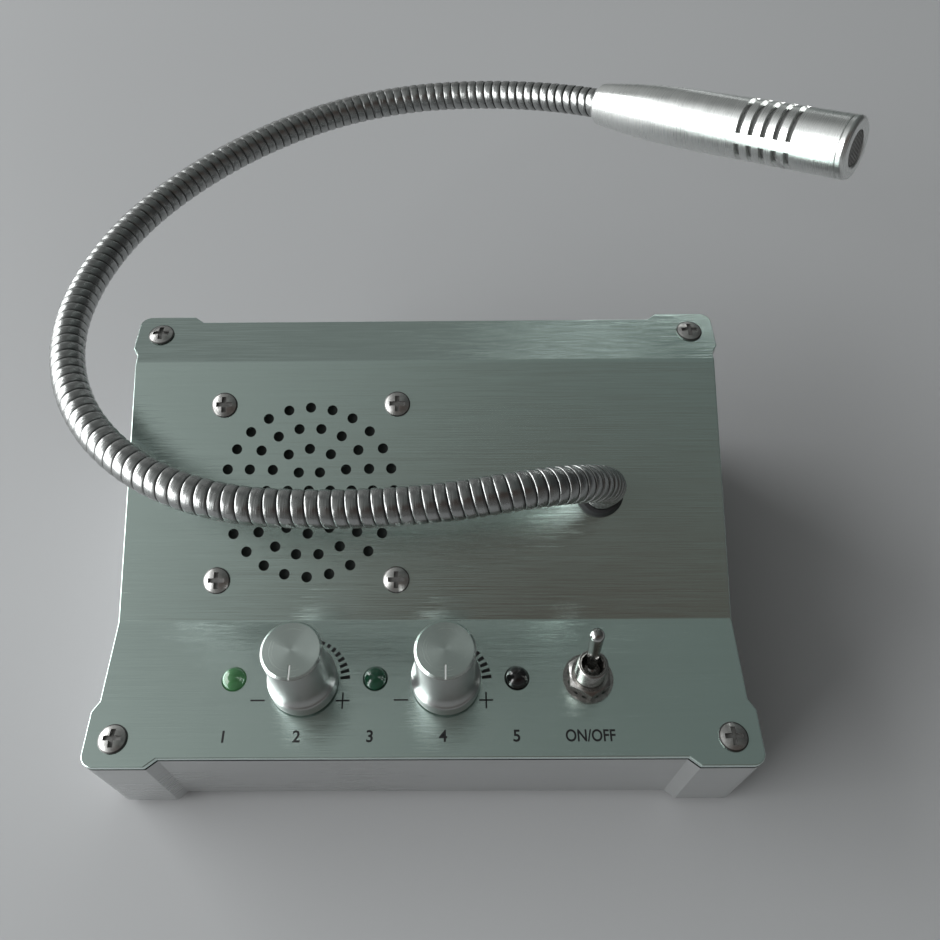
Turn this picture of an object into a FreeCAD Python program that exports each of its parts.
import FreeCAD, Part
import math
import os

# A desk intercom for a teller window: a low metal console with a folded, brushed top plate,
# a perforated speaker field, two volume knobs, three indicator lamps, a toggle switch, and a
# gooseneck that rises from the plate, swings round the console and carries a small microphone.
#
# Frame: millimetres, X to the user's right, Y away from the user, Z up.
# The origin is on the table, under the middle of the console.

V = FreeCAD.Vector
UP = V(0, 0, 1)

# ---------------------------------------------------------------- driving dimensions
# console, seen in plan and from the side
WIDTH = 140.0          # over the straight sides, without the corner ears
EAR_X = 1.4            # how far the ears stand out sideways
EAR_Y = 1.8            # and to the front and back
EAR_WIDE = 12.2        # ear measured along the front and back edges, from the straight side
EAR_DEEP = 9.8         # ear measured along the sides, from the front edge
EAR_SLANT = 2.3        # run of the slanted step from ear to edge
EAR_ROUND = 2.8        # rounding of the ears' outer corners
FRONT_RUN = 30.3       # level control panel, front to back
MAIN_RUN = 61.2        # speaker panel, measured up its slope
MAIN_SLOPE = 24.8      # degrees
REAR_RUN = 13.3        # level ledge at the back
FOOT = 1.6             # feet, and so the gap under the walls
PANEL_TOP = 27.9 + FOOT
PLATE = 1.2            # sheet thickness of the top plate
BEND = 1.0             # inside radius of its two folds
WALL = 2.2             # walls of the housing
REBATE = 0.6           # dark line between the plate and the walls
BASE = 1.5             # thickness of the base plate

EDGE = 0.3             # rounding of the plate's top edge

# corner screws, from the middle of the console and from the front edge or the rear fold
CORNER_X = 65.3
CORNER_FRONT = 4.0
CORNER_REAR = 9.0
POST_R = 4.8
M3_R = 1.5             # shank of every screw
M3_HOLE_R = 1.7
CORNER_HEAD_R = 3.1
PANEL_HEAD_R = 3.05
BOARD_HEAD_R = 2.6
HEAD_HIGH = 1.1        # crown of the low raised heads
HEAD_RIM = 0.28        # height of the head's widest circle
HEAD_UNDERCUT = 0.22   # how far the head draws in below it
SHANK = 10.0           # corner screws, under the head
THREAD_DEEP = 8.0      # base screws' holes in the posts
SINK_R = 3.0           # countersunk heads of the base screws
FOOT_R = 5.0
FOOT_X = 56.0
FOOT_Y = 38.0

# control row, its places measured from the front edge
KNOB_Y = 16.0
LAMP_Y = 16.8
TOGGLE_Y = 16.6
ROW_STEP = 15.5        # lamp, knob, lamp, knob, lamp, switch
ROW_START = -41.5
LAMP_R = 2.5
LAMP_HIGH = 2.5
LAMP_GAP = 0.25        # dark ring between a lamp and its hole
FLANGE_R = 2.9
LEG_STEP = 1.27        # each lamp leg from the lamp's middle
KNOB_R = 6.2
KNOB_TOP_R = 6.3
SKIRT_R = 7.5
SKIRT_HIGH = 3.0
WAIST_HIGH = 6.2       # where the flare over the skirt ends
KNOB_GAP = 0.8
KNOB_HIGH = 19.0       # top of the knob over the panel
KNOB_CAP = 4.0         # solid thickness over the shaft
POINTER = 0.5
SHAFT_R = 3.0
BUSHING_R = 3.5        # threaded neck of a potentiometer
BUSHING_TOP = 4.4
POT_R = 8.2
POT_DEEP = 8.0
POT_NUT_WIDE = 10.0
POT_NUT_HIGH = 2.0
RUNNING = 0.05         # radial clearance of turning shafts
TOGGLE_TILT = 12.5     # degrees each way from upright
TOGGLE_PIVOT = 5.0
BALL_R = 2.15
BARREL_R = 3.3
BUSHING_HIGH = 9.0
LEVER_REACH = 14.3     # pivot to the lever's tip
LEVER_TIP_R = 1.6
LEVER_NECK_R = 1.05
WASHER_R = 5.5
WASHER_INNER_R = 4.6
WASHER = 0.5
WASHER_TEETH = 12
TOOTH_WIDE = 1.1
TOGGLE_NUT_WIDE = 8.6
TOGGLE_NUT_HIGH = 2.8
TOGGLE_CASE = (8.0, 13.2, 8.2)     # width, depth and height of the switch under the panel

# speaker, on the sloping panel
SPEAKER_X = -27.1
SPEAKER_UP = 29.9      # up the slope from the front fold
SCREW_SQUARE = 41.4    # speaker screws, side of the square
HOLE_R = 1.22
CLOTH = 0.4            # black cloth behind the holes
SPEAKER_WIDE = 49.0
CONE_R = 22.0
BASKET_DEEP = 11.0
MAGNET_R = 15.5
FLANGE = 1.0           # thickness of the basket's flange
HOLE_RINGS = [(0, 1), (5, 6), (10, 12), (15, 18), (20, 24)]   # ring radius, holes in it

# gooseneck: foot on the sloping panel, then arcs of (length, swing, lift) in degrees, where
# swing turns it clockwise seen from above and lift turns it upwards
NECK_X = 41.0
NECK_UP = 28.8
NECK_R = 4.0
GROOVE_R = 3.62
STEM = 10.0            # straight length above the panel
BAND = 7.667           # two and a half turns of the wound strip are drawn as one band
NECK_ARCS = [(40, 93.5, -14.5), (46, 12, 5), (46, 42.5, -3), (46, 42.5, -0.5),
             (46, 36.5, 5.5), (46, 22, -1), (46, 35, 5), (46, 34, 10)]
JOINT_AFTER = [0, 1, 3, 5, 7]      # arcs passed before each of the five bending places
KNUCKLE = 18.5         # degrees that each end face slopes back from a bending place
KNUCKLE_PIN = 1.4
PIN_PLAY = 0.08
PIN_LONG = 6.4
NECK_HOLE_R = 4.8
COLLAR_R = 5.5         # rubber collar that the neck comes out of
COLLAR_HIGH = 2.4
NECK_TAIL = 17.0       # threaded end under the panel
NECK_NUT_WIDE = 13.0

# microphone
MIC_LONG = 71.5
MIC_R = 7.5
MIC_TAIL_R = 5.5
MIC_TAPER = 27.0       # length of the swelling tail
MIC_CAP = 2.3          # end ring, from its groove to the front
NOSE_LONG = 1.0        # rounded front of that ring
NOSE_R = 6.3
GROOVE = 0.4
CAP_SLEEVE = 3.0       # part of the end ring inside the barrel
MIC_WALL = 1.35
CAPSULE_R = 4.7
CAPSULE_LONG = 7.0
GRILLE_R = 4.3
GRILLE = 0.6
GRILLE_DEEP = 0.3      # from the front edge to the grille
TAIL_BORE = 6.0        # how far the neck goes into the tail
WIRE_R = 2.0           # passage for the wires through the tail
SLOT_FIRST = 44.9
SLOT_PITCH = 3.2
SLOT_WIDE = 1.4
SLOTS = 5
SLOT_GROUPS = 3
RIB_ANGLE = 20.0       # rib between two groups of slots
RIB_ROLL = 79.0        # where the first rib stands, round the axis

# rear sockets and the boards inside
POWER_X = -40.0
JACK_X = [10.0, 30.0]
SOCKET_Z = 20.0
SOCKET_R = 4.0
SOCKET_RIM_R = 5.0
SOCKET_WELL_R = 3.0
SOCKET_DEEP = 11.0
SOCKET_RIM = 2.2
SOCKET_PIN_R = 1.0
SOCKET_NUT_WIDE = 11.0
JACK_R = 3.0
JACK_BORE = 1.8
JACK_BORE_DEEP = 14.0
JACK_OUT = 3.0         # how far a jack's sleeve stands out of the wall
JACK_CASE = (9.0, 9.0, 13.0)       # width, height and depth of a jack inside the wall
BOARD = 1.6            # thickness of both boards
BOARD_WIDE = 84.0
BOARD_DEEP = 52.0
BOARD_X = 6.0
BOARD_Y = 8.0
BOARD_HIGH = 5.0       # standoffs
BOARD_INSET = 4.0      # board screws from its edges
SINK_X = 22.0          # heat sink and amplifier chip
SINK_Y = -8.0

# ---------------------------------------------------------------- worked-out places
SLOPE = math.radians(MAIN_SLOPE)
DEPTH = FRONT_RUN + MAIN_RUN * math.cos(SLOPE) + REAR_RUN
FRONT_Y = -DEPTH / 2
BACK_Y = DEPTH / 2
FOLD_1 = V(0, FRONT_Y + FRONT_RUN, PANEL_TOP)
UPHILL = V(0, math.cos(SLOPE), math.sin(SLOPE))
OUTWARD = V(0, -math.sin(SLOPE), math.cos(SLOPE))
FOLD_2 = FOLD_1 + UPHILL * MAIN_RUN
LEDGE_TOP = FOLD_2.z
HALF = WIDTH / 2
ROW = [ROW_START + i * ROW_STEP for i in range(6)]
LAMP_X = ROW[0::2]
KNOB_X = ROW[1:4:2]
TOGGLE_X = ROW[5]
FLOOR_Z = FOOT + BASE
BOARD_Z = FLOOR_Z + BOARD_HIGH
BOARD_TOP = BOARD_Z + BOARD
CORNERS = [(-CORNER_X, FRONT_Y + CORNER_FRONT), (CORNER_X, FRONT_Y + CORNER_FRONT),
           (-CORNER_X, FOLD_2.y + CORNER_REAR), (CORNER_X, FOLD_2.y + CORNER_REAR)]


# ---------------------------------------------------------------- small helpers
def rod(r, z0, z1, x=0.0, y=0.0):
    """Upright cylinder from height z0 to z1."""
    return Part.makeCylinder(r, z1 - z0, V(x, y, z0), UP)


def ring(outer, inner, z0, z1, x=0.0, y=0.0):
    return rod(outer, z0, z1, x, y).cut(rod(inner, z0 - 1, z1 + 1, x, y))


def block(wide, deep, z0, z1, x=0.0, y=0.0):
    return Part.makeBox(wide, deep, z1 - z0, V(x - wide / 2, y - deep / 2, z0))


def hexagon(across_flats, z0, z1):
    r = across_flats / math.sqrt(3)
    turn = [math.radians(60 * i) for i in range(7)]
    corners = [V(r * math.cos(a), r * math.sin(a), z0) for a in turn]
    return Part.Face(Part.makePolygon(corners)).extrude(V(0, 0, z1 - z0))


def line(a, b):
    return Part.LineSegment(a, b).toShape()


def arc(a, middle, b):
    return Part.Arc(a, middle, b).toShape()


def turned(edges):
    """Solid of revolution about Z from a closed outline in the XZ plane."""
    face = Part.Face(Part.Wire(edges))
    return face.revolve(V(0, 0, 0), UP, 360)


def turned_outline(points):
    """Solid of revolution from (radius, height) corners."""
    corners = [V(r, 0, z) for r, z in points]
    return turned([line(a, b) for a, b in zip(corners, corners[1:] + corners[:1])])


def fused(shapes):
    return shapes[0].fuse(shapes[1:]).removeSplitter()


def placed(shape, place, turn=FreeCAD.Rotation()):
    """Copy of a shape made at the origin, turned and carried to its place."""
    copy = shape.copy()
    copy.Placement = FreeCAD.Placement(place, turn).multiply(shape.Placement)
    return copy


def on_front(shape, x, y=KNOB_Y):
    """On the level control panel, y measured from its front edge."""
    return placed(shape, V(x, FRONT_Y + y, PANEL_TOP))


def on_main(shape, x, up):
    """On the sloping panel, its Z along the panel's normal."""
    return placed(shape, FOLD_1 + UPHILL * up + V(x, 0, 0), FreeCAD.Rotation(V(1, 0, 0), MAIN_SLOPE))


def save(name, shape):
    solids = shape.Solids
    assert solids and all(s.isValid() and s.Volume > 0 for s in solids), name
    whole = solids[0] if len(solids) == 1 else Part.makeCompound(solids)
    whole.exportStep("parts/" + name + ".step")
    print(name, len(solids), "solid(s)", round(whole.Volume, 1), "mm3")


# ---------------------------------------------------------------- outline and side profile
def outline(inset=0.0):
    """Plan of the console: a rectangle with four corner ears, drawn in by an inset."""
    x0 = HALF - inset
    x1 = x0 + EAR_X
    y0 = DEPTH / 2 - inset
    y1 = y0 + EAR_Y
    front_side = -DEPTH / 2 + EAR_DEEP
    rear_side = FOLD_2.y + EAR_SLANT
    wide = HALF - EAR_WIDE
    right = [(wide - EAR_SLANT, -y0), (wide, -y1), (x1, -y1), (x1, front_side),
             (x0, front_side + EAR_SLANT), (x0, rear_side), (x1, rear_side + EAR_SLANT),
             (x1, y1), (wide, y1), (wide - EAR_SLANT, y0)]
    left = [(-x, y) for x, y in reversed(right)]
    corners = [V(x, y, 0) for x, y in right + left]
    return Part.Face(Part.makePolygon(corners + corners[:1]))


def upright_edges(solid, x_least, y_least):
    """Vertical edges that stand outside the given distances from the middle."""
    found = []
    for edge in solid.Edges:
        box = edge.BoundBox
        upright = box.XLength < 1e-6 and box.YLength < 1e-6
        if upright and abs(box.XMin) > x_least and abs(box.YMin) > y_least:
            found.append(edge)
    return found


def prism(inset, z0, z1):
    """The plan carried upwards, its four outer corners rounded."""
    face = outline(inset)
    face.translate(V(0, 0, z0))
    solid = face.extrude(V(0, 0, z1 - z0))
    corners = upright_edges(solid, HALF + EAR_X - inset - 0.01, DEPTH / 2 + EAR_Y - inset - 0.01)
    return solid.makeFillet(max(EAR_ROUND - inset, 0.5), corners)


def folded_line(down, radius_1, radius_2):
    """Edges of the plate's side view, a distance below its top face, with both folds rounded."""
    reach = EAR_Y + 5
    lower_1 = V(0, FOLD_1.y + down * math.tan(SLOPE / 2), FOLD_1.z - down)
    lower_2 = V(0, FOLD_2.y + down * math.tan(SLOPE / 2), FOLD_2.z - down)
    start = V(0, FRONT_Y - reach, FOLD_1.z - down)
    end = V(0, BACK_Y + reach, FOLD_2.z - down)
    edges = []
    last = start
    level = V(0, 1, 0)
    for corner, radius, before, after in ((lower_1, radius_1, level, UPHILL),
                                          (lower_2, radius_2, UPHILL, level)):
        back = radius * math.tan(SLOPE / 2)
        a = corner - before * back
        b = corner + after * back
        bulge = (after - before).normalize()
        sagitta = radius * (1 / math.cos(SLOPE / 2) - 1)
        edges += [line(last, a), arc(a, corner + bulge * sagitta, b)]
        last = b
    return edges + [line(last, end)], start, end


def below(down, radius_1, radius_2):
    """Everything under the folded line, over the whole width."""
    edges, start, end = folded_line(down, radius_1, radius_2)
    edges += [line(end, V(0, end.y, -5)), line(V(0, end.y, -5), V(0, start.y, -5)),
              line(V(0, start.y, -5), start)]
    face = Part.Face(Part.Wire(edges))
    face.translate(V(-HALF - 10, 0, 0))
    return face.extrude(V(2 * HALF + 20, 0, 0))


UNDER_TOP = below(0, BEND, BEND + PLATE)
UNDER_PLATE = below(PLATE, BEND + PLATE, BEND)
UNDER_REBATE = below(PLATE + REBATE, BEND + PLATE, BEND)


# ---------------------------------------------------------------- console
def rounded_edge(plate):
    """Small rounding on the outer border of the plate's upper side."""
    upper = [f for f in plate.Faces if f.normalAt(0, 0).z > 0.5 and f.Area > 5]
    shared = {}
    for face in upper:
        for edge in face.Edges:
            shared.setdefault(edge.hashCode(), []).append(edge)
    border = [edges[0] for edges in shared.values() if len(edges) == 1]
    return plate.makeFillet(EDGE, border)


def make_top_plate():
    plate = prism(0, 10, 80).common(UNDER_TOP).cut(UNDER_PLATE)
    holes = [on_front(rod(LAMP_R + LAMP_GAP, -4, 2), x, LAMP_Y) for x in LAMP_X]
    holes += [on_front(rod(BUSHING_R + 0.1, -4, 2), x) for x in KNOB_X]
    holes += [on_front(rod(BARREL_R + 0.1, -4, 2), TOGGLE_X, TOGGLE_Y)]
    holes += [rod(M3_HOLE_R, 10, 80, x, y) for x, y in CORNERS]
    holes += [on_main(rod(M3_HOLE_R, -4, 2), x, up) for x, up in speaker_screw_places()]
    holes += [on_main(rod(NECK_HOLE_R, -4, 2), NECK_X, NECK_UP)]
    for radius, count in HOLE_RINGS:
        for i in range(count):
            turn = math.radians(360.0 * i / count)
            x = SPEAKER_X + radius * math.cos(turn)
            up = SPEAKER_UP + radius * math.sin(turn)
            holes.append(on_main(rod(HOLE_R, -4, 2), x, up))
    return rounded_edge(plate).cut(Part.makeCompound(holes))


def make_housing():
    """Four walls that follow the plate's outline, a post in each corner, holes for the sockets."""
    walls = prism(0, FOOT, 80).cut(prism(WALL, FOOT - 1, 81))
    posts = [rod(POST_R, FLOOR_Z, 80, x, y) for x, y in CORNERS]
    shell = walls.fuse(posts).common(UNDER_PLATE)
    edge_strip = prism(0, FOOT, 81).cut(prism(REBATE, FOOT - 1, 82))
    shell = shell.cut(UNDER_PLATE.cut(UNDER_REBATE).common(edge_strip))
    holes = []
    for x, y in CORNERS:
        top = PANEL_TOP if y < 0 else LEDGE_TOP
        holes.append(rod(M3_R, top - SHANK - 0.4, 80, x, y))
        holes.append(rod(M3_R, FLOOR_Z - 1, FLOOR_Z + THREAD_DEEP, x, y))
    holes.append(rear_facing(rod(SOCKET_R, -8, 4), POWER_X, SOCKET_Z))
    holes += [rear_facing(rod(JACK_R, -8, 4), x, SOCKET_Z) for x in JACK_X]
    return shell.cut(holes).removeSplitter()


def make_base_plate():
    plate = prism(WALL + 0.1, FOOT, FLOOR_Z)
    wide = SINK_R + 0.05
    narrow = M3_R + 0.05
    sink = turned_outline([(0, -0.1), (wide, -0.1), (wide, 0.05), (narrow, BASE + 0.05), (narrow, 9), (0, 9)])
    return plate.cut([placed(sink, V(x, y, FOOT)) for x, y in CORNERS])


def make_feet():
    return Part.makeCompound([rod(FOOT_R, 0, FOOT, i * FOOT_X, j * FOOT_Y)
                              for i in (-1, 1) for j in (-1, 1)])


def cross_recess(top, reach=1.75, wide=0.85, deep=1.2):
    bar = block(2 * reach, wide, top - deep, top + 1)
    return bar.fuse(placed(bar, V(0, 0, 0), FreeCAD.Rotation(UP, 90)))


def raised_screw(head_r, head_high, shank_long):
    """Raised-head screw with a cross recess: narrow undercut rim under a shallow dome."""
    rim = V(head_r, 0, HEAD_RIM)
    crown = V(0, 0, head_high)
    half_way = V(head_r / 2, 0, head_high - (head_high - HEAD_RIM) / 4)
    start = V(0, 0, -shank_long)
    foot = V(head_r - HEAD_UNDERCUT, 0, 0)
    path = [start, V(M3_R, 0, -shank_long), V(M3_R, 0, 0), foot, rim]
    edges = [line(p, q) for p, q in zip(path, path[1:])]
    edges += [arc(rim, half_way, crown), line(crown, start)]
    return turned(edges).cut(cross_recess(head_high, 0.62 * head_r, 1.05, 0.75 * head_high))


def make_corner_screws():
    screw = raised_screw(CORNER_HEAD_R, HEAD_HIGH, SHANK)
    tops = [PANEL_TOP if y < 0 else LEDGE_TOP for x, y in CORNERS]
    return Part.makeCompound([placed(screw, V(x, y, top)) for (x, y), top in zip(CORNERS, tops)])


def make_base_screws():
    screw = turned_outline([(0, 0), (SINK_R, 0), (M3_R, BASE), (M3_R, THREAD_DEEP), (0, THREAD_DEEP)])
    screw = screw.cut(placed(cross_recess(0), V(0, 0, 0), FreeCAD.Rotation(V(1, 0, 0), 180)))
    return Part.makeCompound([placed(screw, V(x, y, FOOT)) for x, y in CORNERS])


# ---------------------------------------------------------------- speaker under the sloping panel
def speaker_screw_places():
    half = SCREW_SQUARE / 2
    return [(SPEAKER_X + i * half, SPEAKER_UP + j * half) for i in (-1, 1) for j in (-1, 1)]


def make_speaker_screws():
    screw = raised_screw(PANEL_HEAD_R, HEAD_HIGH, 7)
    return Part.makeCompound([on_main(screw, x, up) for x, up in speaker_screw_places()])


def make_speaker_nuts():
    top = -PLATE - CLOTH - FLANGE
    nut = hexagon(5.5, top - 2.4, top).cut(rod(M3_R, -9, 1))
    return Part.makeCompound([on_main(nut, x, up) for x, up in speaker_screw_places()])


def speaker_square(z0, z1):
    """Square sheet with rounded corners and the four screw holes."""
    sheet = block(SPEAKER_WIDE, SPEAKER_WIDE, z0, z1)
    edge = SPEAKER_WIDE / 2 - 0.5
    sheet = sheet.makeFillet(4, upright_edges(sheet, edge, edge))
    half = SCREW_SQUARE / 2
    return sheet.cut([rod(1.6, z0 - 1, z1 + 1, i * half, j * half) for i in (-1, 1) for j in (-1, 1)])


def make_speaker_cloth():
    return on_main(speaker_square(-PLATE - CLOTH, -PLATE), SPEAKER_X, SPEAKER_UP)


def make_speaker_basket():
    """Square pressed flange and a tapering basket with four windows."""
    top = -PLATE - CLOTH
    flange = speaker_square(top - FLANGE, top).cut(rod(CONE_R, top - 2, top + 1))
    deep = top - BASKET_DEEP
    outer = CONE_R + 1.2
    shell = turned_outline([(CONE_R, top - 1), (outer, top - 1), (outer, top - 3), (15.2, deep),
                            (5.2, deep), (5.2, deep + 1), (14.7, deep + 1), (CONE_R, top - 3)])
    windows = []
    for i in range(4):
        wedge = block(15, 15, top - 9.5, top - 4, 0, 20)
        windows.append(placed(wedge, V(0, 0, 0), FreeCAD.Rotation(UP, 45 + 90 * i)))
    basket = flange.fuse(shell.cut(windows)).removeSplitter()
    return on_main(basket, SPEAKER_X, SPEAKER_UP)


def make_speaker_cone():
    """Paper cone with a rolled edge and a dust cap."""
    top = -PLATE - CLOTH - FLANGE
    paper = 0.4
    roll_r = CONE_R - 3.4
    cap_r = 6.0
    lip = [V(CONE_R, 0, top), V(CONE_R, 0, top - paper), V(roll_r, 0, top - paper)]
    below_cap = [V(cap_r, 0, top - 7 - paper), V(0, 0, top - 7 - paper)]
    crown = V(0, 0, top - 4.6)
    cap_edge = V(cap_r, 0, top - 7)
    roll_start = V(roll_r, 0, top)
    path = lip + below_cap + [crown]
    edges = [line(p, q) for p, q in zip(path, path[1:])]
    edges += [arc(crown, V(3.3, 0, top - 5.2), cap_edge), line(cap_edge, roll_start),
              arc(roll_start, V((roll_r + CONE_R) / 2, 0, top + 0.9), lip[0])]
    return on_main(turned(edges), SPEAKER_X, SPEAKER_UP)


def make_speaker_magnet():
    """Ferrite ring between two steel plates, drawn as one turned body."""
    top = -PLATE - CLOTH - BASKET_DEEP
    plate = 1.2
    plate_r = MAGNET_R - 1.5
    ring_end = top - plate - 5.3
    magnet = turned_outline([(0, top), (plate_r, top), (plate_r, top - plate), (MAGNET_R, top - plate),
                             (MAGNET_R, ring_end), (plate_r, ring_end), (plate_r, ring_end - plate),
                             (0, ring_end - plate)])
    return on_main(magnet, SPEAKER_X, SPEAKER_UP)


# ---------------------------------------------------------------- control row
def knob_bore():
    """Hole for the shaft, wider round the bushing and wider still round the nut."""
    nut_r = POT_NUT_WIDE / math.sqrt(3) + 0.5
    return [rod(SHAFT_R, 0, KNOB_HIGH - KNOB_CAP), rod(BUSHING_R + 0.4, 0, BUSHING_TOP + 0.5),
            rod(nut_r, 0, POT_NUT_HIGH + 1.2)]


def make_knob(x):
    """Stepped turned knob: skirt, concave flare, plain cap with a rounded rim and a pointer cut."""
    low = KNOB_GAP
    top = KNOB_HIGH
    skirt = low + SKIRT_HIGH
    foot = [V(0, 0, low), V(SKIRT_R, 0, low), V(SKIRT_R, 0, skirt)]
    edges = [line(p, q) for p, q in zip(foot, foot[1:])]
    crest = V(SKIRT_R - 0.45, 0, skirt + 0.75)
    waist = V(KNOB_R, 0, low + WAIST_HIGH)
    flare = V(KNOB_R + 0.22, 0, (crest.z + waist.z) / 2 - 0.06)
    edges += [arc(foot[-1], V(SKIRT_R - 0.12, 0, skirt + 0.45), crest), arc(crest, flare, waist)]
    shoulder = V(KNOB_TOP_R, 0, top - 0.5)
    rim = V(KNOB_TOP_R - 0.5, 0, top)
    edges += [line(waist, shoulder), line(shoulder, rim),
              line(rim, V(0, 0, top)), line(V(0, 0, top), foot[0])]
    pointer = block(POINTER, KNOB_TOP_R, top - 0.35, top + 1, 0, -KNOB_TOP_R)
    return on_front(turned(edges).cut(knob_bore() + [pointer]), x)


def make_shaft(x):
    return on_front(rod(SHAFT_R, -PLATE - POT_DEEP + 0.8, KNOB_HIGH - KNOB_CAP), x)


def make_potentiometer(x):
    """Round can and threaded bushing in one, bored for the turning shaft, with three tags."""
    back = -PLATE - POT_DEEP
    can = rod(POT_R, back, -PLATE)
    bushing = rod(BUSHING_R, -PLATE, BUSHING_TOP)
    bore = rod(SHAFT_R + RUNNING, back + 0.7, 9)
    tags = [block(1.2, 5, back, back + 0.8, i * 5, POT_R + 0.4) for i in (-1, 0, 1)]
    return on_front(fused([can, bushing] + tags).cut(bore), x)


def make_panel_nuts():
    nut = hexagon(POT_NUT_WIDE, 0, POT_NUT_HIGH).cut(rod(BUSHING_R, -1, 3))
    return Part.makeCompound([on_front(nut, x) for x in KNOB_X])


def make_lamp(x):
    """Five-millimetre lamp: flange under the plate, barrel, dome and two legs."""
    barrel_top = LAMP_HIGH - LAMP_R
    under = -PLATE - 1
    flange = rod(FLANGE_R, under, -PLATE)
    barrel = rod(LAMP_R, under, barrel_top)
    ball = Part.makeSphere(LAMP_R, V(0, 0, barrel_top))
    legs = [block(0.5, 0.5, under - 7, under, i * LEG_STEP, 0) for i in (-1, 1)]
    dome = ball.cut(rod(5, barrel_top - 5, barrel_top))
    return on_front(fused([flange, barrel, dome] + legs), x, LAMP_Y)


def make_control_board():
    """Board behind the potentiometers, wide enough to carry all three lamps."""
    wide = LAMP_X[2] - LAMP_X[0] + 19
    back = -PLATE - POT_DEEP
    return on_front(block(wide, 24, back - BOARD, back, LAMP_X[1], 0.5), 0)


def make_toggle_body():
    wide, deep, high = TOGGLE_CASE
    under = -PLATE - high
    case = block(wide, deep, under, -PLATE)
    tags = [block(2.2, 0.8, under - 4.1, under, 0, i * 4.7) for i in (-1, 0, 1)]
    return on_front(fused([case] + tags), TOGGLE_X, TOGGLE_Y)


def make_toggle_bushing():
    """Threaded barrel with a bore that opens into a cone, so that the lever can swing."""
    barrel = rod(BARREL_R, -PLATE, BUSHING_HIGH)
    bore_r = BALL_R + RUNNING
    floor = TOGGLE_PIVOT - BALL_R - 0.35
    bore = turned_outline([(0, floor), (bore_r, floor), (bore_r, BUSHING_HIGH - 1),
                           (bore_r + 0.6, BUSHING_HIGH + 1), (0, BUSHING_HIGH + 1)])
    return on_front(barrel.cut(bore), TOGGLE_X, TOGGLE_Y)


def make_lock_washer():
    """Flat ring with teeth that point inwards."""
    washer = ring(WASHER_R, WASHER_INNER_R, 0, WASHER)
    tip = BARREL_R + 0.15
    middle = (tip + WASHER_INNER_R + 0.1) / 2
    teeth = []
    for i in range(WASHER_TEETH):
        tooth = block(TOOTH_WIDE, WASHER_INNER_R + 0.1 - tip, 0, WASHER, 0, middle)
        teeth.append(placed(tooth, V(0, 0, 0), FreeCAD.Rotation(UP, 360.0 * i / WASHER_TEETH)))
    return on_front(fused([washer] + teeth), TOGGLE_X, TOGGLE_Y)


def make_toggle_nut():
    """Hexagon nut with a corner to the front, the corners of its upper side turned off."""
    top = WASHER + TOGGLE_NUT_HIGH
    outside = TOGGLE_NUT_WIDE / math.sqrt(3) + 1
    crown = TOGGLE_NUT_WIDE / 2 - 0.3
    nut = placed(hexagon(TOGGLE_NUT_WIDE, WASHER, top), V(0, 0, 0), FreeCAD.Rotation(UP, 30))
    cone = turned_outline([(0, 0), (outside, 0), (outside, top - 1.2), (crown, top), (0, top)])
    return on_front(nut.common(cone).cut(rod(BARREL_R, 0, top + 1)), TOGGLE_X, TOGGLE_Y)


def make_toggle_lever():
    """Bat lever with a ball at its pivot, leaning to the rear."""
    join = math.sqrt(BALL_R ** 2 - LEVER_NECK_R ** 2)
    dome_z = LEVER_REACH - LEVER_TIP_R
    a = V(0, 0, -BALL_R)
    b = V(LEVER_NECK_R, 0, join)
    c = V(LEVER_TIP_R, 0, dome_z)
    d = V(0, 0, LEVER_REACH)
    half = LEVER_TIP_R * math.sqrt(0.5)
    lever = turned([arc(a, V(BALL_R, 0, 0), b), line(b, c), arc(c, V(half, 0, dome_z + half), d),
                    line(d, a)])
    tilted = placed(lever, V(0, 0, TOGGLE_PIVOT), FreeCAD.Rotation(V(1, 0, 0), -TOGGLE_TILT))
    return on_front(tilted, TOGGLE_X, TOGGLE_Y)


# ---------------------------------------------------------------- gooseneck
def neck_foot():
    return FOLD_1 + UPHILL * NECK_UP + V(NECK_X, 0, 0)


def level_up(along):
    """Direction square to a tangent that points as nearly up as it can."""
    return (UP - along * UP.dot(along)).normalize()


def trace_neck():
    """Follow the arcs and keep, for each, its start length, place, tangent, side and turn."""
    place = neck_foot() + OUTWARD * STEM
    along = V(OUTWARD)
    side = V(UPHILL)
    walked = STEM
    traced = []
    for length, swing, lift in NECK_ARCS:
        up = level_up(along)
        axis = along.cross(up) * lift - up * swing
        angle = axis.Length
        axis.normalize()
        traced.append((walked, length, V(place), V(along), V(side), axis, angle))
        radius = length / math.radians(angle)
        turn = FreeCAD.Rotation(axis, angle)
        centre = place + axis.cross(along) * radius
        place = centre + turn.multVec(place - centre)
        along = turn.multVec(along)
        side = turn.multVec(side)
        walked += length
    traced.append((walked, 1e9, place, along, side, axis, 0.0))
    return traced


NECK = trace_neck()
NECK_LONG = NECK[-1][0]
JOINTS = [NECK[i][0] for i in JOINT_AFTER]


def neck_at(distance):
    """Place, tangent and side direction at a distance along the neck from the panel."""
    if distance < STEM:
        return neck_foot() + OUTWARD * distance, OUTWARD, UPHILL
    start, length, place, along, side, axis, angle = [n for n in NECK if n[0] <= distance][-1]
    if angle == 0.0:
        return place + along * (distance - start), along, side
    part = angle * (distance - start) / length
    turn = FreeCAD.Rotation(axis, part)
    centre = place + axis.cross(along) * (length / math.radians(angle))
    return centre + turn.multVec(place - centre), turn.multVec(along), turn.multVec(side)


def bend_axes():
    """Axes of the five bending places: sideways tilt at the foot, then swing and lift by turns."""
    axes = [UPHILL]
    for number, distance in enumerate(JOINTS[1:]):
        along = neck_at(distance)[1]
        up = level_up(along)
        level = along.cross(up)
        axes.append([up, level * -1, up, level][number])
    return axes


AXES = bend_axes()


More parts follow.
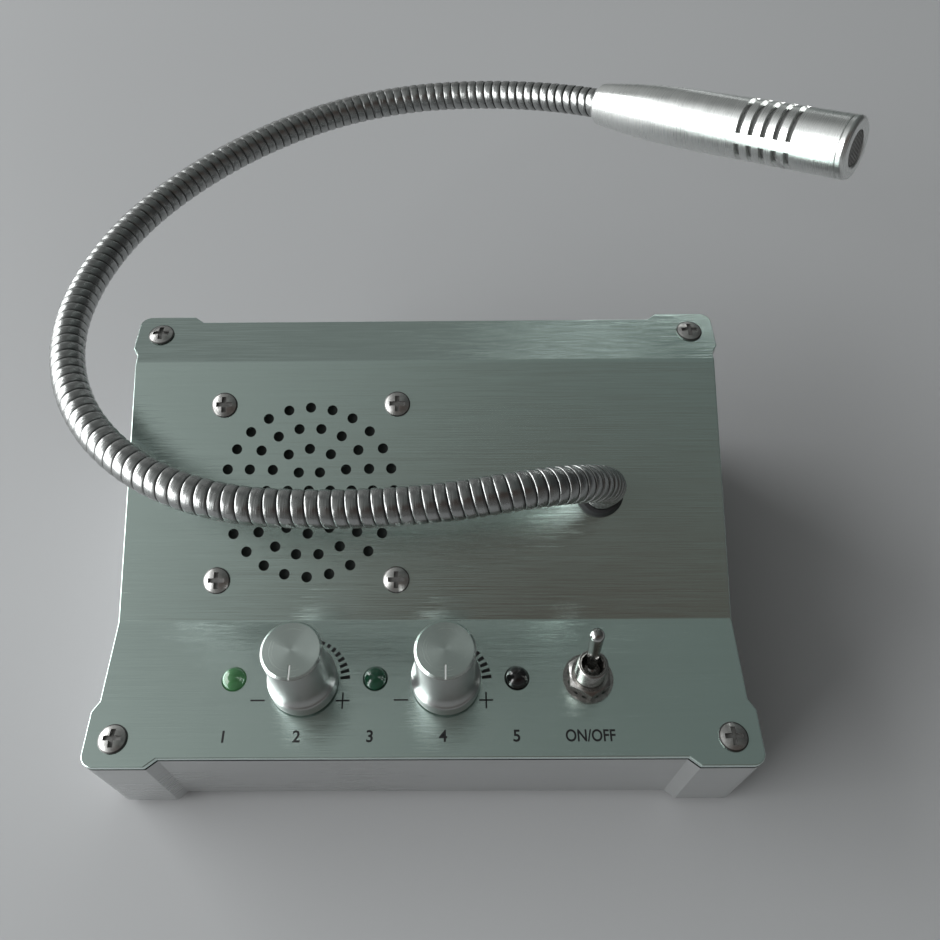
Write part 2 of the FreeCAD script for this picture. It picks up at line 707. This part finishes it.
def ring_at(distance, radius):
    place, along, side = neck_at(distance)
    circle = Part.Wire(Part.Circle(V(0, 0, 0), UP, radius).toShape())
    return placed(circle, place, FreeCAD.Rotation(side, along.cross(side), along, "ZXY"))


def banded(start, end):
    """Bands of the wound strip between two distances: each steps out, then tapers back."""
    count = max(1, round((end - start) / BAND))
    pitch = (end - start) / count
    rings = []
    for i in range(count):
        rings.append(ring_at(start + i * pitch, GROOVE_R))
        rings.append(ring_at(start + i * pitch + 0.6, NECK_R))
    rings.append(ring_at(end, GROOVE_R))
    return Part.makeLoft(rings, True, True)


def knuckle(number, forward):
    """Space that one side of a bending place must leave: two faces that slope from its axis."""
    place, along, side = neck_at(JOINTS[number])
    axis = AXES[number]
    across = along.cross(axis)
    reach = 9.0
    slope = reach * math.tan(math.radians(KNUCKLE))
    ahead = 1 if forward else -1
    flat = [(-reach, slope + 0.05), (0, 0.05), (reach, slope + 0.05), (reach, -6), (-reach, -6)]
    corners = [place + across * u + along * (ahead * w) - axis * reach for u, w in flat]
    return Part.Face(Part.makePolygon(corners + corners[:1])).extrude(axis * (2 * reach))


def knuckle_pin(number, radius, length):
    place = neck_at(JOINTS[number])[0]
    axis = AXES[number]
    return Part.makeCylinder(radius, length, place - axis * (length / 2), axis)


def make_neck_stem():
    """Straight stem: threaded end under the panel, first bands above it, up to the first bend."""
    tail = on_main(rod(NECK_R, -NECK_TAIL, 1.2), NECK_X, NECK_UP)
    bands = banded(1.2, STEM).cut(knuckle(0, False))
    return tail.fuse([bands, knuckle_pin(0, KNUCKLE_PIN, PIN_LONG)]).removeSplitter()


def make_neck_span(number):
    start = JOINTS[number]
    last = number == len(JOINTS) - 1
    end = NECK_LONG + TAIL_BORE if last else JOINTS[number + 1]
    groove = knuckle_pin(number, KNUCKLE_PIN + PIN_PLAY, 2 * PIN_LONG)
    span = banded(start, end).cut([knuckle(number, True), groove])
    if not last:
        pin = knuckle_pin(number + 1, KNUCKLE_PIN, PIN_LONG)
        span = span.cut(knuckle(number + 1, False)).fuse(pin)
    return span


def make_neck_grommet():
    """Black rubber in the plate's hole: a flange underneath and a collar on top."""
    under = -PLATE - 1
    lip = NECK_HOLE_R + 1.8
    rubber = turned_outline([(NECK_R, under), (lip, under), (lip, -PLATE), (NECK_HOLE_R, -PLATE),
                             (NECK_HOLE_R, 0), (COLLAR_R, 0), (COLLAR_R, 0.8),
                             (COLLAR_R - 0.7, COLLAR_HIGH), (NECK_R, COLLAR_HIGH)])
    return on_main(rubber, NECK_X, NECK_UP)


def make_neck_nut():
    under = -PLATE - 1
    return on_main(hexagon(NECK_NUT_WIDE, under - 5, under).cut(rod(NECK_R, -9, 1)), NECK_X, NECK_UP)


# ---------------------------------------------------------------- microphone on the neck's end
def on_mic(shape):
    place, along, side = neck_at(NECK_LONG)
    up = level_up(along)
    return placed(shape, place, FreeCAD.Rotation(up, along.cross(up), along, "ZXY"))


def mic_slot(z, start, sweep):
    """Slot round part of the wall, cut square to the axis."""
    slot = Part.makeCylinder(MIC_R + 2, SLOT_WIDE, V(0, 0, z), UP, sweep)
    return placed(slot, V(0, 0, 0), FreeCAD.Rotation(UP, start))


def make_mic_body():
    """Swelling tail, straight barrel with groups of slots, bored from the front."""
    barrel_end = MIC_LONG - MIC_CAP
    a = V(NECK_R, 0, 0)
    b = V(MIC_TAIL_R - 0.6, 0, 0)
    c = V(MIC_TAIL_R, 0, 0.8)
    d = V(MIC_R, 0, MIC_TAPER)
    e = V(MIC_R, 0, barrel_end)
    swell = V((MIC_TAIL_R + MIC_R) / 2 + 0.25, 0, MIC_TAPER * 0.45)
    inner = MIC_R - MIC_WALL
    hollow_start = MIC_TAPER + 3
    hollow = [V(inner, 0, barrel_end), V(inner, 0, hollow_start), V(WIRE_R, 0, MIC_TAPER),
              V(WIRE_R, 0, TAIL_BORE), V(NECK_R, 0, TAIL_BORE)]
    edges = [line(a, b), line(b, c), arc(c, swell, d), line(d, e), line(e, hollow[0])]
    edges += [line(p, q) for p, q in zip(hollow, hollow[1:])]
    edges.append(line(hollow[-1], a))
    sweep = 360.0 / SLOT_GROUPS - RIB_ANGLE
    slots = []
    for i in range(SLOTS):
        for j in range(SLOT_GROUPS):
            start = RIB_ROLL + RIB_ANGLE / 2 + j * 360.0 / SLOT_GROUPS
            slots.append(mic_slot(SLOT_FIRST + i * SLOT_PITCH - SLOT_WIDE / 2, start, sweep))
    core = rod(inner - 0.5, hollow_start, MIC_LONG)
    return on_mic(turned(edges).cut([s.cut(core) for s in slots]))


def make_mic_cap():
    """End ring: a thin groove behind it, a rounded nose, a bore for the capsule and the grille."""
    z = MIC_LONG - MIC_CAP
    inner = MIC_R - MIC_WALL
    groove_r = MIC_R - 0.35
    front = MIC_LONG - GRILLE_DEEP
    shoulder = V(MIC_R, 0, MIC_LONG - NOSE_LONG)
    nose = V(NOSE_R, 0, MIC_LONG)
    bulge = V(MIC_R - 0.3, 0, MIC_LONG - NOSE_LONG * 0.42)
    outside = [V(CAPSULE_R, 0, z - CAP_SLEEVE), V(inner, 0, z - CAP_SLEEVE), V(inner, 0, z),
               V(groove_r, 0, z), V(groove_r, 0, z + GROOVE), V(MIC_R, 0, z + GROOVE), shoulder]
    inside = [nose, V(GRILLE_R + 0.4, 0, MIC_LONG), V(GRILLE_R, 0, front), V(GRILLE_R, 0, front - GRILLE),
              V(CAPSULE_R, 0, front - GRILLE), outside[0]]
    edges = [line(p, q) for p, q in zip(outside, outside[1:])]
    edges.append(arc(shoulder, bulge, nose))
    edges += [line(p, q) for p, q in zip(inside, inside[1:])]
    return on_mic(turned(edges))


def make_mic_grille():
    """Perforated disc just behind the front edge."""
    front = MIC_LONG - GRILLE_DEEP
    hole = rod(0.55, front - 2, front + 2, 2.2)
    holes = [placed(hole, V(0, 0, 0), FreeCAD.Rotation(UP, 60 * i)) for i in range(6)]
    holes.append(rod(0.55, front - 2, front + 2))
    return on_mic(rod(GRILLE_R, front - GRILLE, front).cut(holes))


def make_mic_capsule():
    """Closed can with a shallow mouth towards the grille."""
    front = MIC_LONG - GRILLE_DEEP - GRILLE
    mouth = rod(1.6, front - 0.9, front + 1)
    return on_mic(rod(CAPSULE_R, front - CAPSULE_LONG, front).cut(mouth))


def make_mic_foam():
    """Dust sleeve behind the slots."""
    return on_mic(ring(MIC_R - MIC_WALL, CAPSULE_R, MIC_TAPER + 4, MIC_LONG - MIC_CAP - CAP_SLEEVE))


# ---------------------------------------------------------------- electronics and rear sockets
def rear_facing(shape, x, z):
    """On the rear wall, Z pointing out of it."""
    return placed(shape, V(x, BACK_Y, z), FreeCAD.Rotation(V(1, 0, 0), -90))


def board_corners():
    wide = BOARD_WIDE / 2 - BOARD_INSET
    deep = BOARD_DEEP / 2 - BOARD_INSET
    return [(BOARD_X + i * wide, BOARD_Y + j * deep) for i in (-1, 1) for j in (-1, 1)]


def make_main_board():
    board = block(BOARD_WIDE, BOARD_DEEP, BOARD_Z, BOARD_TOP, BOARD_X, BOARD_Y)
    return board.cut([rod(M3_R + 0.1, 0, 30, x, y) for x, y in board_corners()])


def make_standoffs():
    post = rod(2.8, FLOOR_Z, BOARD_Z).cut(rod(M3_R, FLOOR_Z + 1, BOARD_Z + 1))
    return Part.makeCompound([placed(post, V(x, y, 0)) for x, y in board_corners()])


def make_board_screws():
    screw = raised_screw(BOARD_HEAD_R, HEAD_HIGH, 4)
    return Part.makeCompound([placed(screw, V(x, y, BOARD_TOP)) for x, y in board_corners()])


def make_capacitors():
    """Three upright electrolytic capacitors, each with the crimp near its foot."""
    z = BOARD_TOP
    r = 4.0
    high = 12.0
    can = turned_outline([(0, z), (r, z), (r, z + 1.2), (r - 0.3, z + 1.6), (r, z + 2), (r, z + high - 0.5),
                          (r - 0.5, z + high), (0, z + high)])
    return Part.makeCompound([placed(can, V(BOARD_X + 6 + 10 * i, BOARD_Y + 14, 0)) for i in range(3)])


def make_amplifier():
    """Upright power chip on seven legs, its back against the heat sink."""
    thick = 4.4
    y = SINK_Y - thick / 2
    legs_high = 3.0
    case = block(20, thick, BOARD_TOP + legs_high, BOARD_TOP + 14, SINK_X, y)
    legs = [block(0.8, 0.6, BOARD_TOP, BOARD_TOP + legs_high, SINK_X + 2.5 * i, y) for i in range(-3, 4)]
    return case.fuse(legs)


def make_heat_sink():
    """Upright comb of seven fins."""
    top = BOARD_TOP + 16
    spine = block(26, 2, BOARD_TOP, top, SINK_X, SINK_Y + 1)
    fins = [block(1.4, 7, BOARD_TOP, top, SINK_X + 4.1 * i, SINK_Y + 5.5) for i in range(-3, 4)]
    return fused([spine] + fins)


def make_power_socket():
    """Round barrel socket with a deep well, held from behind by its nut."""
    back = -SOCKET_DEEP - 1.5
    shell = turned_outline([(SOCKET_WELL_R, -SOCKET_DEEP), (SOCKET_WELL_R, SOCKET_RIM),
                            (SOCKET_RIM_R, SOCKET_RIM), (SOCKET_RIM_R, 0), (SOCKET_R, 0),
                            (SOCKET_R, back), (0, back), (0, -SOCKET_DEEP)])
    return rear_facing(shell, POWER_X, SOCKET_Z)


def make_power_pin():
    return rear_facing(rod(SOCKET_PIN_R, -SOCKET_DEEP, 0.5), POWER_X, SOCKET_Z)


def make_jack(x):
    """Round audio jack: threaded sleeve through the wall and a case behind it."""
    wide, high, deep = JACK_CASE
    inside = -WALL - 1
    sleeve = rod(JACK_R, inside, JACK_OUT)
    case = block(wide, high, inside - deep, inside)
    bore = rod(JACK_BORE, -JACK_BORE_DEEP, JACK_OUT + 1)
    return rear_facing(sleeve.fuse(case).removeSplitter().cut(bore), x, SOCKET_Z)


def make_jack_nuts():
    """Round nuts with a screwdriver slot across their faces."""
    nut = ring(JACK_R + 1.2, JACK_R, 0, 2)
    slots = block(10, 0.9, 1.2, 3)
    return Part.makeCompound([rear_facing(nut.cut(slots), x, SOCKET_Z) for x in JACK_X])


def make_power_nut():
    nut = hexagon(SOCKET_NUT_WIDE, -WALL - 2.5, -WALL).cut(rod(SOCKET_R, -9, 1))
    return rear_facing(nut, POWER_X, SOCKET_Z)


# ---------------------------------------------------------------- write every part
def main():
    os.makedirs("parts", exist_ok=True)
    save("top_plate", make_top_plate())
    save("housing", make_housing())
    save("base_plate", make_base_plate())
    save("rubber_feet", make_feet())
    save("corner_screws", make_corner_screws())
    save("base_screws", make_base_screws())
    save("speaker_screws", make_speaker_screws())
    save("speaker_nuts", make_speaker_nuts())
    save("speaker_cloth", make_speaker_cloth())
    save("speaker_basket", make_speaker_basket())
    save("speaker_cone", make_speaker_cone())
    save("speaker_magnet", make_speaker_magnet())
    for name, x in zip(("inner", "outer"), KNOB_X):
        save("knob_" + name, make_knob(x))
        save("shaft_" + name, make_shaft(x))
        save("potentiometer_" + name, make_potentiometer(x))
    save("panel_nuts", make_panel_nuts())
    for name, x in zip(("inner", "outer", "power"), LAMP_X):
        save("lamp_" + name, make_lamp(x))
    save("control_board", make_control_board())
    save("toggle_body", make_toggle_body())
    save("toggle_bushing", make_toggle_bushing())
    save("toggle_lock_washer", make_lock_washer())
    save("toggle_nut", make_toggle_nut())
    save("toggle_lever", make_toggle_lever())
    save("neck_stem", make_neck_stem())
    save("neck_grommet", make_neck_grommet())
    save("neck_nut", make_neck_nut())
    for number in range(len(JOINTS)):
        save("neck_span_" + str(number + 1), make_neck_span(number))
    save("mic_body", make_mic_body())
    save("mic_cap", make_mic_cap())
    save("mic_grille", make_mic_grille())
    save("mic_capsule", make_mic_capsule())
    save("mic_foam", make_mic_foam())
    save("main_board", make_main_board())
    save("board_standoffs", make_standoffs())
    save("board_screws", make_board_screws())
    save("capacitors", make_capacitors())
    save("amplifier_chip", make_amplifier())
    save("heat_sink", make_heat_sink())
    save("power_socket", make_power_socket())
    save("power_pin", make_power_pin())
    save("power_nut", make_power_nut())
    save("jack_outer_unit", make_jack(JACK_X[0]))
    save("jack_record", make_jack(JACK_X[1]))
    save("jack_nuts", make_jack_nuts())
    for number, distance in enumerate(JOINTS):
        place = neck_at(distance)[0]
        print("bend", number + 1, [round(c, 3) for c in place], [round(c, 5) for c in AXES[number]])


main()
